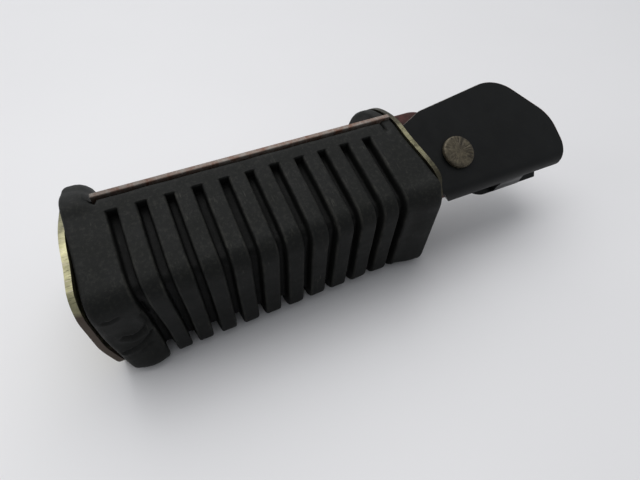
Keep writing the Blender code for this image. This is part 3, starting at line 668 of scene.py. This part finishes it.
def grip_lines(s, p):
    """Sections of the grip, point for point: the body's, and both flanges'.

    With them come the flanges' shares of base rounding and the reach of the grooves.
    """
    start = p.round_start
    side, foot = half_width(s, start), half_width(s, s.deep)
    near = tread_path(s, start, 0.6 * MM, 0.0, s.corner)
    lapped = round_path(s, p, s.outer_lap, p.round_radius + 0.2 * MM)
    flanges = (np.vstack(((start, side), lapped, (start, -side))),
               round_path(s, p, start, p.round_radius))
    corners = [(start, side, 0), (s.deep, foot, s.foot), (s.deep, -foot, s.foot), (start, -side, 0)]
    path = fillets(corners, 0.2 * MM, closed=False)
    path = path[:np.argmin(np.hypot(*(path - (start, -side)).T)) + 1]
    total = walk(path, [0])[1]
    close = np.array((0.35, 0.6, 0.75, 0.85, 0.95, 1.08, 1.3, 1.7, 2.3, 3.0, 3.8, 4.6)) * MM
    places = np.concatenate((close, np.linspace(5.2 * MM, total - 5.2 * MM, 46),
                             total - close[::-1]))
    body = np.vstack((near, walk(path, places)[0]))
    rounds = [np.vstack((near, walk(way, places / total * walk(way, [0])[1])[0]))
              for way in flanges]
    into = np.minimum(places, total - places)
    bases = [np.concatenate((np.zeros(len(near)), ease(into, low * MM, high * MM)))
             for low, high in ((3.6, 5.6), (0, 3))]
    stop = s.deep - s.margin
    reach = 1 - ease(body[:, 0], stop - 0.12 * MM, stop + 0.12 * MM)
    reach[len(near):] *= into < 3 * MM
    return body, rounds, bases, reach


def swelling(grid, blend):
    """How far wear pushes the rubber out, in mm: waves of wander, and bell-shaped swellings."""
    x, u, w = (part / MM for part in np.moveaxis(grid, -1, 0))
    inner, tread = 1 - ease(np.abs(x), 48, 49.7), ease(-u, -9, -1)
    push = (0.10 * wander(grid, 14 * MM, 3) + 0.03 * wander(grid, 3 * MM, 4)) * inner
    push -= 0.12 * np.exp(-((u - 2) / 7) ** 2) * (1 + wander(grid, 20 * MM, 9)) * inner
    # The inner block, the lower side, the struck corner, and the lap over the base plate
    push += 1.1 * ease(x, 41, 48) * tread
    push += 1.2 * ease(-w, 0, 14) * ease(-x, -30, 38) * tread * inner
    push += 1.7 * np.exp(-((x + 44.0) / 4.4) ** 2 - ((w + 13) / 9) ** 2) * tread
    push += 0.6 * ease(u, 26, 30) * (1 - ease(u, 34, 40)) * (1 - blend) * (x < 0)
    return push


def sliding(grid, s):
    """How far the rubber is pressed along the grip.

    The ribs lean over, most of all by the struck corner, and fade away as an exponential along
    the grip; the ends follow their plates.
    """
    x, u, w = (part / MM for part in np.moveaxis(grid, -1, 0))
    inner, tread = 1 - ease(np.abs(x), 48, 49.7), ease(-u, -9, -1)
    slide = s.press * ease(-w, -26, 14) * np.exp(-np.maximum(x + 36, 0) / 11) * tread
    slide *= ease(x, -49.5, -41)
    slide += 0.12 * MM * np.sin(2.1 * np.round(x * MM / s.pitch + 0.5) + w / 9) * inner
    slide += 1.8 * MM * ease(-w, -6, 18) * (1 - ease(u, 4, 16)) * (1 - ease(x, -50, -44))
    return slide + bent_out(u, w, s) * ease(x, 44, 49.9)


def tears(x, u, w):
    """The depth of the tears, in mm, with a low ridge beside each, and where they are.

    Both are bell curves of the distance to the nearest run of a tear's line.
    """
    depth, torn = np.zeros_like(x), np.zeros_like(x)
    for wide, deep, *ends in TEARS:
        far = np.full(x.shape, np.inf)
        for first, last in zip(np.array(ends), np.array(ends[1:])):
            run = last - first
            share = ((x - first[0]) * run[0] + (w - first[1]) * run[1]) / (run @ run)
            share = np.clip(share, 0, 1)
            far = np.minimum(far, np.hypot(x - first[0] - share * run[0],
                                           w - first[1] - share * run[1]))
        top = ease(-u, -7, -4)
        cut = np.exp(-(far / wide) ** 2) * top
        depth += deep * (cut - 0.35 * np.exp(-((far - 2.2 * wide) / wide) ** 2) * top)
        torn = np.maximum(torn, cut)
    return depth, torn


def grip_surface(s, p, b):
    """The grip as a function of row and of place round its section.

    A point is the section's outline, moved in along its normal by the row's rounding and groove,
    and shifted a little by wear.
    """
    body, rounds, bases, reach = grip_lines(s, p)
    base_x, side_x, round_in, base_in, blend, groove, size = grip_rows(s).T[..., None]
    base = np.where(base_x < 0, *bases)
    left = base_x[..., None] < 0
    share = blend[..., None]
    line = np.where(left, *rounds) * (1 - share) + body * share
    out = np.where(left, *map(outward, rounds)) * (1 - share) + outward(body) * share
    along = base_x * base + side_x * (1 - base)
    sunk = groove * reach
    cut_in = (round_in + base_in * base + sunk)[..., None]
    middle = np.array((0.6 * s.deep, 0.0))
    grid = np.dstack((along, middle + (line - out * cut_in - middle) * size[..., None]))
    normal = np.dstack((np.zeros_like(along), out))
    slide = sliding(grid, s)
    x, u, w = (part / MM for part in np.moveaxis(grid, -1, 0))
    depth, torn = tears(x + slide / MM, u, w)
    push = (swelling(grid, blend) - depth) * (size == 1)
    grid = grid + normal * push[..., None] * MM
    grid[..., 0] += slide
    lip = ((groove > 0) & (groove < 0.9 * MM)) * reach
    grid = on_table(on_peg(grid, s, b))
    # The sunk mark holds the groove and tear depth, which the rubber paints as shade
    return grid, tube(grid), {"sunk": np.maximum(sunk / s.sink, torn), "lip": lip}


# ---------------------------------------------------------------- plates

def sheet_between(inner, outer, shares):
    """A flat sheet between two loops: each row lies at its share of the way from inner to outer."""
    return inner[None] + (outer - inner)[None] * np.asarray(shares)[:, None, None]


def end_plate(s, p, b, side):
    """An end plate's middle surface from its tab slot to its rim, bent at the tread."""
    outer = side < 0
    depth, radius = ((p.outer_start, p.outer_radius) if outer
                     else (p.round_start, p.round_radius))
    rim = plate_outline(s, p, 0.8 * MM, depth, radius)
    centre = np.array((s.deep + p.gap + p.sheet / 2, 0.0))
    half = np.array((p.sheet / 2 + p.gap, p.tab / 2 + p.gap))
    way = rim - centre
    slot = centre + way / np.max(np.abs(way) / half, axis=1)[:, None]
    shares = np.concatenate((np.linspace(0, 0.9, 16), (0.94, 0.97, 1.0)))
    flat = sheet_between(slot, rim, shares)
    x = np.full(flat.shape[:2], side * (s.long / 2 + p.gap + p.sheet / 2))
    u, w = flat[..., 0] / MM, flat[..., 1] / MM
    x += bent_in(u, w) if outer else bent_out(u, w, s)
    grid = np.dstack((x, flat))
    rust = ease(-u, -5, 0.5) if outer else 0.35 * ease(-w, 2, 14)
    oily = np.zeros(u.shape) if outer else 0.5 + 0.3 * ease(np.abs(u - 20), 3, 12)
    grid = on_table(on_peg(grid, s, b))
    return grid, quads(len(shares), len(rim), True), {"rusty": rust, "oily": oily}


def base_plate(s, p, b):
    """The base plate's middle surface: full width between the flanges, a tab at each end."""
    shoulder = s.long / 2 - s.outer_flange + 0.3 * MM
    end, side, tab = s.long / 2 + p.gap + p.sheet, half_width(s, s.deep), p.tab / 2
    right = np.array(((end, tab), (s.long / 2 - p.gap, tab), (s.long / 2 - p.gap, side)))
    left = np.array(((-shoulder, side), (-shoulder, tab), (-end, tab)))
    outline = np.vstack((right, left, left[::-1] * (1, -1), right[::-1] * (1, -1)))
    depth = np.full(12, s.deep + p.gap + p.sheet / 2)
    flat = np.column_stack((outline[:, 0], depth, outline[:, 1]))
    return on_peg(flat, s, b), [list(range(12))]


def stiffener(s, p, b):
    """The stiffener's middle surface: a U-shaped path with round bends, carried along the grip."""
    side, tall = p.channel_width / 2 - p.channel_sheet / 2, p.channel_height - p.channel_sheet / 2
    corners = [(0, -side, 0), (tall, -side, 2.2 * MM), (tall, side, 2.2 * MM), (0, side, 0)]
    path = fillets(corners, 1.0 * MM, closed=False)
    path = path[:np.argmin(np.hypot(*(path - (0, side)).T)) + 1]
    x = np.linspace(s.outer_flange - s.long / 2 + 0.5 * MM, s.long / 2 - s.flange - 2 * MM, 60)
    grid = np.empty((len(x), len(path), 3))
    grid[..., 0] = x[:, None]
    grid[..., 1] = path[:, 0] + s.deep + 2 * p.gap + p.sheet
    grid[..., 2] = path[:, 1]
    return on_peg(grid, s, b), quads(len(x), len(path), False)


def bead(start, end, a, c, arc, seed=0):
    """A weld bead: an arc between directions a and c about a line, tapered at its ends.

    Its size varies as a sine of the distance along, with a phase of its own for each strand.
    """
    start, end, a, c = (np.array(v, float) for v in (start, end, a, c))
    span = np.linalg.norm(end - start)
    s = np.linspace(0, 1, max(12, round(span / (0.25 * MM))))[:, None]
    t = np.linspace(0, arc, 13)[None]
    size = 1 - (2 * s - 1) ** 10 * 0.55
    shift = 0.5 * np.sin(t * math.pi / arc)
    size = size * (1 + 0.07 * np.sin(2 * math.pi * (s * span - shift) / RIPPLE))
    size = size * (1 + 0.05 * np.sin(9 * s + seed))
    line = start + s[..., None] * (end - start)
    ring = line + a * (size * np.cos(t))[..., None] + c * (size * np.sin(t))[..., None]
    if arc < math.pi:
        ring = np.concatenate((np.broadcast_to(line, (len(s), 1, 3)), ring), axis=1)
    return ring


# ---------------------------------------------------------------- bracket and hinge

def ear_outline(b, p, relieved):
    """An ear: a corner that clears the end plate, toe, heel, crest, shoulder and stop nose."""
    low = -b.tread_side - 0.5 * MM
    first = math.asin((start_of_bend(b) if relieved else low) / b.sweep)
    turn = np.linspace(-math.pi, -math.pi - first, 24)
    corners = [(b.sweep * math.cos(t), b.sweep * math.sin(t), 0) for t in turn]
    if relieved:
        foot = b.web_start - b.relief
        slope = math.tan(math.radians(40))
        corners += [(foot, start_of_bend(b), 0), (foot + (start_of_bend(b) - low) / slope, low, 0)]
    corners += [(b.ear, low, b.toe * (1.35 if relieved else 1)), (b.ear, b.heel, 14 * MM),
                (b.crest_x, b.crest_y, 14 * MM), (-7.2 * MM, b.shoulder, 5 * MM),
                (p.gap - b.from_plate, b.stop, 0.8 * MM)]
    return fillets(corners, 0.8 * MM)


def start_of_bend(b):
    """Where the ears run into the bends beside the web."""
    return -b.tread_side + b.bend + b.sheet


def bent(flat, b, side):
    """Flat blank points set on the pressed channel: the ear, then round the bend onto the web."""
    middle, start = b.bend + b.sheet / 2, start_of_bend(b)
    over = np.clip(start - flat[..., 1], 0, None)
    angle = np.minimum(over / middle, math.pi / 2)
    rest = over - angle * middle
    y = np.maximum(flat[..., 1], start) - middle * np.sin(angle)
    y[over == 0] = flat[..., 1][over == 0]
    y -= b.web_sag * (side < 0) * angle / (math.pi / 2) * (1 - rest / (b.inner - b.bend))
    z = b.inner - b.bend + middle * np.cos(angle) - rest
    return np.dstack((flat[..., 0], y, side * z))


def ear_sheet(b, p, side, count):
    """An ear's flat blank from bore to outline, web run first, and the web's x along that run."""
    middle, start = b.bend + b.sheet / 2, start_of_bend(b)
    outline = ear_outline(b, p, side < 0)
    cut = start - middle * math.acos(0.6 * MM / middle)
    dip = np.clip((start - outline[:, 1]) / middle, 0, 1)
    x, foot = outline[:, 0], b.web_start - b.relief
    flat = (dip == 0) | ((side < 0) & (x > foot - 0.1 * MM) & (x < foot + b.web_slant))
    outline[:, 1] = np.maximum(np.where(flat, outline[:, 1], start - middle * np.arcsin(dip)), cut)
    first = b.web_start + (b.web_slant if side < 0 else 0)
    last = b.web_end - (0 if side < 0 else b.web_skew)
    in_run = np.abs(outline[:, 0] - (first + last) / 2) < (last - first) / 2 + 0.3 * MM
    place = np.flatnonzero((outline[:, 1] < cut + 1e-6) & in_run)
    run_x = np.linspace(first, last, count)
    run = np.column_stack((run_x, np.full(count, cut)))
    outline = np.vstack((run, outline[place[-1] + 1:], outline[:place[0]]))
    bore = outline / np.hypot(*outline.T)[:, None] * (b.pin / 2 + p.gap)
    shares = np.concatenate((np.linspace(0, 0.7, 13), np.linspace(0.74, 0.97, 9), (1.0,)))
    return sheet_between(bore, outline, shares), run_x, cut


def bracket_blank(b, p):
    """The bracket's middle surface: two ears from bore to outline, and the web between them."""
    middle, start, count = b.bend + b.sheet / 2, start_of_bend(b), 26
    parts, faces, edges, rusts, total = [], [], [], [], 0
    flats = [ear_sheet(b, p, side, count) for side in (1, -1)]
    full = start - middle * math.pi / 2 - (b.inner - b.bend)
    for (flat, run_x, cut), side in zip(flats, (1, -1)):
        across = np.linspace(0, 1, 9)
        both = (flats[0][1] + flats[1][1]) / 2
        web = np.dstack((run_x[:, None] + (both - run_x)[:, None] * across,
                         np.broadcast_to(cut + (full - cut) * across, (count, 9))))
        rim = flat[-1, count:]
        away = np.hypot(flat[..., None, 0] - rim[:, 0], flat[..., None, 1] - rim[:, 1]).min(axis=-1)
        # Pale metal on the ears' upper edges: partly paint wear, partly a painted highlight
        worn_and_lit = (1 - ease(away, 0, 0.9 * MM)) * ease(flat[..., 1], -9 * MM, -6 * MM)
        for sheet, closed, edge in ((flat, True, worn_and_lit), (web, False, np.zeros(web.shape[:2]))):
            parts.append(bent(sheet, b, side).reshape(-1, 3))
            faces += (np.array(quads(*sheet.shape[:2], closed)) + total).tolist()
            edges.append(edge.ravel())
            rusts.append(ease(sheet[..., 0] + 0.9 * sheet[..., 1], 30 * MM, 42 * MM).ravel())
            total += sheet.shape[0] * sheet.shape[1]
    return (turned(np.vstack(parts), HINGE_LEAN), faces,
            {"edge": np.concatenate(edges), "rusty": np.concatenate(rusts)})


def lug_sheet(b, p):
    """The lug's middle surface: from its bore to a round nose and a tall, round-shouldered back."""
    back = p.gap - b.from_plate
    turn = np.linspace(-math.pi / 2, math.pi / 4, 24)
    nose = [(b.lug_nose * math.cos(t), b.lug_nose * math.sin(t), 0) for t in turn]
    corners = [(back, -b.lug_nose, 0)] + nose
    corners += [(b.lug_nose * math.sqrt(2) - b.lug_tall, b.lug_tall, 10 * MM),
                (back, b.lug_tall, 0)]
    rim = fillets(corners, 0.9 * MM)
    bore = rim / np.hypot(*rim.T)[:, None] * (b.pin / 2 + p.gap)
    flat = sheet_between(bore, rim, np.concatenate((np.linspace(0, 0.9, 10), (1.0,))))
    grid = np.dstack((flat, np.zeros(flat.shape[:2])))
    return turned(grid, HINGE_LEAN), quads(*flat.shape[:2], True)


def pin_surface(b, p):
    """The pin: a turned profile, with radial dents struck into its head and a peened tail."""
    seat = b.inner + b.sheet + p.gap
    top, head, shank = seat + b.head_rise, b.head / 2, b.pin / 2
    tail_seat = -(b.inner + b.sheet + 2 * p.gap + TAIL_RING)
    tail_end, tail = tail_seat - TAIL_RISE, TAIL
    rings = [(share * (head - 0.7 * MM), top + 0.12 * MM * (1 - share ** 2))
             for share in np.linspace(0.04, 1, 16)]
    rings += [(head - 0.45 * MM, top - 0.06 * MM), (head - 0.2 * MM, top - 0.22 * MM),
              (head - 0.05 * MM, top - 0.5 * MM), (head, top - 0.9 * MM),
              (head, seat + 0.15 * MM), (head - 0.15 * MM, seat), (shank, seat),
              (shank, tail_seat), (tail - 0.1 * MM, tail_seat), (tail, tail_seat - 0.2 * MM),
              (tail, tail_seat - 0.7 * MM), (0.9 * tail, tail_end + 0.45 * MM),
              (0.7 * tail, tail_end + 0.12 * MM), (0.4 * tail, tail_end), (0.05 * tail, tail_end)]
    rings = np.array(rings)
    turn = np.linspace(0, 2 * math.pi, 128, endpoint=False)
    r, z = rings[:, 0, None], rings[:, 1, None]
    blows = 19 * turn + 2.2 * np.sin(3 * turn + 1) + 1.3 * np.sin(5 * turn)
    comb = (0.5 + 0.5 * np.sin(blows)) ** 3
    face = ease(r, 0.22 * head, 0.6 * head) * (1 - ease(r, 0.93 * head, head))
    face = face * (z > seat + 0.3 * MM)
    side = 0.35 + 0.65 * ease(np.cos(turn - 0.3), -0.2, 0.9)
    dent = comb[None] * face * side
    grid = np.dstack((r * np.cos(turn), r * np.sin(turn), z - 0.22 * MM * dent))
    top_face = z > top - 0.3 * MM
    grid[..., 2] += np.where(top_face, 0.05 * MM * wander(grid, 2.5 * MM, 21), 0)
    return turned(grid, HINGE_LEAN), tube(grid), {"dent": dent}


def washer_sheet(bore, rim, height, swing, waves):
    """A washer's middle surface between two circles, with its height a sine of the angle."""
    turn = np.linspace(0, 2 * math.pi, 96, endpoint=False)
    r = np.linspace(bore, rim, 5)[:, None]
    z = height + swing * np.sin(waves * turn) + 0 * r
    grid = np.dstack((r * np.cos(turn), r * np.sin(turn), z))
    return turned(grid, HINGE_LEAN), quads(5, 96, True)


# ---------------------------------------------------------------- operators

def settings(context):
    """The scene's sizes of the grip, the plates and the bracket, and its colours."""
    scene = context.scene
    return scene.footpeg_grip, scene.footpeg_plates, scene.footpeg_bracket, scene.footpeg_finishes


class FOOTPEG_OT_stage(bpy.types.Operator):
    """Add the pale table, the soft lamps and the camera"""
    bl_idname = "footpeg.stage"
    bl_label = "Stage"

    def execute(self, context):
        g = context.scene.footpeg_stage
        mesh = bpy.data.meshes.new("table")
        mesh.from_pydata([(-3, -3, 0), (3, -3, 0), (3, 3, 0), (-3, 3, 0)], [], [(0, 1, 2, 3)])
        mesh.materials.append(table_top(g))
        table = bpy.data.objects.new("table", mesh)
        context.scene.collection.objects.link(table)
        for name, place, size, power in (("key", (-0.05, 0.45, 0.95), 1.7, g.key),
                                         ("side", (-0.9, 0.1, 0.5), 0.5, 0.08 * g.key)):
            lamp = bpy.data.lights.new(name, "AREA")
            lamp.shape = "DISK"
            lamp.size = size
            lamp.energy = power
            made = bpy.data.objects.new(name, lamp)
            made.location = place
            away = np.array(place) / np.linalg.norm(place)
            made.rotation_euler = (math.acos(away[2]), 0.0, math.atan2(away[0], -away[1]))
            context.scene.collection.objects.link(made)
        world = bpy.data.worlds.new("studio")
        context.scene.world = world
        world.use_nodes = True
        tree = world.node_tree
        tree.nodes.clear()
        glow = add(tree, "Background", {"Color": (0.93, 0.96, 1.0, 1.0), "Strength": g.sky})
        add(tree, "OutputWorld", {"Surface": glow}, out=None)
        lens = bpy.data.cameras.new("camera")
        lens.sensor_width = 36.0
        lens.lens = g.lens
        lens.clip_start = 0.005
        camera = bpy.data.objects.new("camera", lens)
        camera.location = g.place
        camera.rotation_euler = g.turn
        context.scene.collection.objects.link(camera)
        context.scene.camera = camera
        context.scene.view_settings.view_transform = "Standard"
        return {"FINISHED"}


class FOOTPEG_OT_grip(bpy.types.Operator):
    """Add the ribbed rubber grip"""
    bl_idname = "footpeg.grip"
    bl_label = "Rubber grip"

    def execute(self, context):
        s, p, b, f = settings(context)
        points, faces, marks = grip_surface(s, p, b)
        piece("ribbed_rubber", "peg", ["rubber_grip"], moulded_rubber(f),
              points, faces, marks)
        return {"FINISHED"}


class FOOTPEG_OT_plates(bpy.types.Operator):
    """Add the end plates, the base plate, its stiffener and their welds"""
    bl_idname = "footpeg.plates"
    bl_label = "Plates"

    def execute(self, context):
        s, p, b, f = settings(context)
        zinc, bare, weld = zinc_plate(f), weathered_steel(f), weld_metal(f)
        for name, node, side in (("outer_plate", "outer_end_plate", -1),
                                 ("inner_plate", "inner_end_plate", 1)):
            points, faces, marks = end_plate(s, p, b, side)
            piece(name, "peg", [node], zinc, points, faces, marks,
                  sheet=p.sheet, edge=0.35 * MM)
        points, faces = base_plate(s, p, b)
        piece("sheared_base", "peg", ["base_plate"], bare, points, faces,
              sheet=p.sheet, edge=0.3 * MM)
        points, faces = stiffener(s, p, b)
        piece("pressed_stiffener", "peg", ["stiffener"], bare, points, faces,
              sheet=p.channel_sheet, edge=0.3 * MM)
        end = s.long / 2 + 2 * p.gap + p.sheet
        reach = p.tab / 2 - 1 * MM
        depth = s.deep + p.gap + p.sheet / 2
        run = s.long / 2 - s.flange - 11 * MM
        root = s.deep + 2 * p.gap + p.sheet
        seat = p.channel_width / 2 + p.gap
        beads = (
            ("outer_bead", "outer_tab_weld", (-end, depth, -reach), (-end, depth, reach),
             (0, 1.8, 0), (-1, 0, 0), math.pi),
            ("inner_bead", "inner_tab_weld", (end, depth, -reach), (end, depth, 0),
             (0, 1.8, 0), (1, 0, 0), math.pi),
            ("near_bead", "stiffener_weld_near", (-run, root, -seat), (run, root, -seat),
             (0, 1.9, 0), (0, 0, -2), math.pi / 2),
            ("far_bead", "stiffener_weld_far", (-run, root, seat), (run, root, seat),
             (0, 1.9, 0), (0, 0, 2), math.pi / 2),
        )
        for seed, (name, node, start, stop, a, c, arc) in enumerate(beads):
            grid = bead(start, stop, np.array(a) * MM, np.array(c) * MM, arc, seed)
            piece(name, "peg", [node], weld, on_peg(grid, s, b), tube(grid))
        return {"FINISHED"}


class FOOTPEG_OT_hinge(bpy.types.Operator):
    """Add the hinge lug, its weld, the pin and the washers"""
    bl_idname = "footpeg.hinge"
    bl_label = "Hinge"

    def execute(self, context):
        _, p, b, f = settings(context)
        points, faces = lug_sheet(b, p)
        piece("rusty_lug", "peg", ["hinge_lug"], rusted_steel(f), points, faces,
              sheet=b.lug, edge=0.6 * MM)
        back, foot, reach = p.gap - b.from_plate, b.lug_tall + p.gap, b.lug / 2 - 0.5 * MM
        grid = bead((back, foot, -reach), (back, foot, reach), (1.9 * MM, 0, 0),
                    (0, 1.9 * MM, 0), math.pi / 2)
        piece("lug_bead", "peg", ["lug_weld"], weld_metal(f), turned(grid, HINGE_LEAN),
              tube(grid))
        points, faces, marks = pin_surface(b, p)
        piece("struck_pin", "bracket", ["hinge_pin"], peened_pin(f),
              points, faces, marks)
        spring, bore = spring_steel(f), b.pin / 2 + p.gap
        middle = b.lug / 2 + p.gap + SHIM / 2
        tail = -(b.inner + b.sheet + p.gap + TAIL_RING / 2)
        for name, node, rim, height, sheet, swing, waves in (
                ("flat_shim", "shim_washer", 8.5 * MM, middle, SHIM, 0, 0),
                ("wavy_spring", "wave_washer", 8.5 * MM, -middle, SHIM / 2, 0.2 * MM, 3),
                ("tail_ring", "tail_washer", 8.0 * MM, tail, TAIL_RING, 0, 0)):
            points, faces = washer_sheet(bore, rim, height, swing, waves)
            piece(name, "bracket", [node], spring, points, faces,
                  sheet=sheet, edge=0.12 * MM, rounds=2)
        return {"FINISHED"}


class FOOTPEG_OT_bracket(bpy.types.Operator):
    """Add the pressed channel bracket"""
    bl_idname = "footpeg.bracket"
    bl_label = "Bracket"

    def execute(self, context):
        _, p, b, f = settings(context)
        points, faces, marks = bracket_blank(b, p)
        piece("pressed_bracket", "bracket", ["mounting_bracket"], black_paint(f),
              points, faces, marks, sheet=b.sheet, edge=0.4 * MM)
        return {"FINISHED"}


class FOOTPEG_PT_sizes(bpy.types.Panel):
    """Sizes and colours of the footpeg"""
    bl_idname = "FOOTPEG_PT_sizes"
    bl_label = "Footpeg"
    bl_space_type = "VIEW_3D"
    bl_region_type = "UI"
    bl_category = "Footpeg"

    def draw(self, context):
        for title, group in GROUPS.items():
            box = self.layout.box()
            box.label(text=group.__doc__)
            held = getattr(context.scene, title)
            for name in group.__annotations__:
                box.prop(held, name)
        for operator in OPERATORS:
            self.layout.operator(operator.bl_idname)


GROUPS = {"footpeg_grip": GripSizes, "footpeg_plates": PlateSizes, "footpeg_bracket": BracketSizes,
          "footpeg_finishes": Finishes, "footpeg_stage": StageSettings}
OPERATORS = (FOOTPEG_OT_stage, FOOTPEG_OT_grip, FOOTPEG_OT_plates, FOOTPEG_OT_hinge,
             FOOTPEG_OT_bracket)


def register():
    """Register the classes and hang their sizes and colours on the scene."""
    for item in (*GROUPS.values(), *OPERATORS, FOOTPEG_PT_sizes):
        bpy.utils.register_class(item)
    for title, group in GROUPS.items():
        setattr(bpy.types.Scene, title, PointerProperty(type=group))


def unregister():
    """Take the sizes and colours off the scene and unregister the classes."""
    for title in GROUPS:
        delattr(bpy.types.Scene, title)
    for item in reversed((*GROUPS.values(), *OPERATORS, FOOTPEG_PT_sizes)):
        bpy.utils.unregister_class(item)


def main():
    register()
    bpy.ops.footpeg.stage()
    bpy.ops.footpeg.grip()
    bpy.ops.footpeg.plates()
    bpy.ops.footpeg.hinge()
    bpy.ops.footpeg.bracket()


if __name__ == "__main__":
    main()
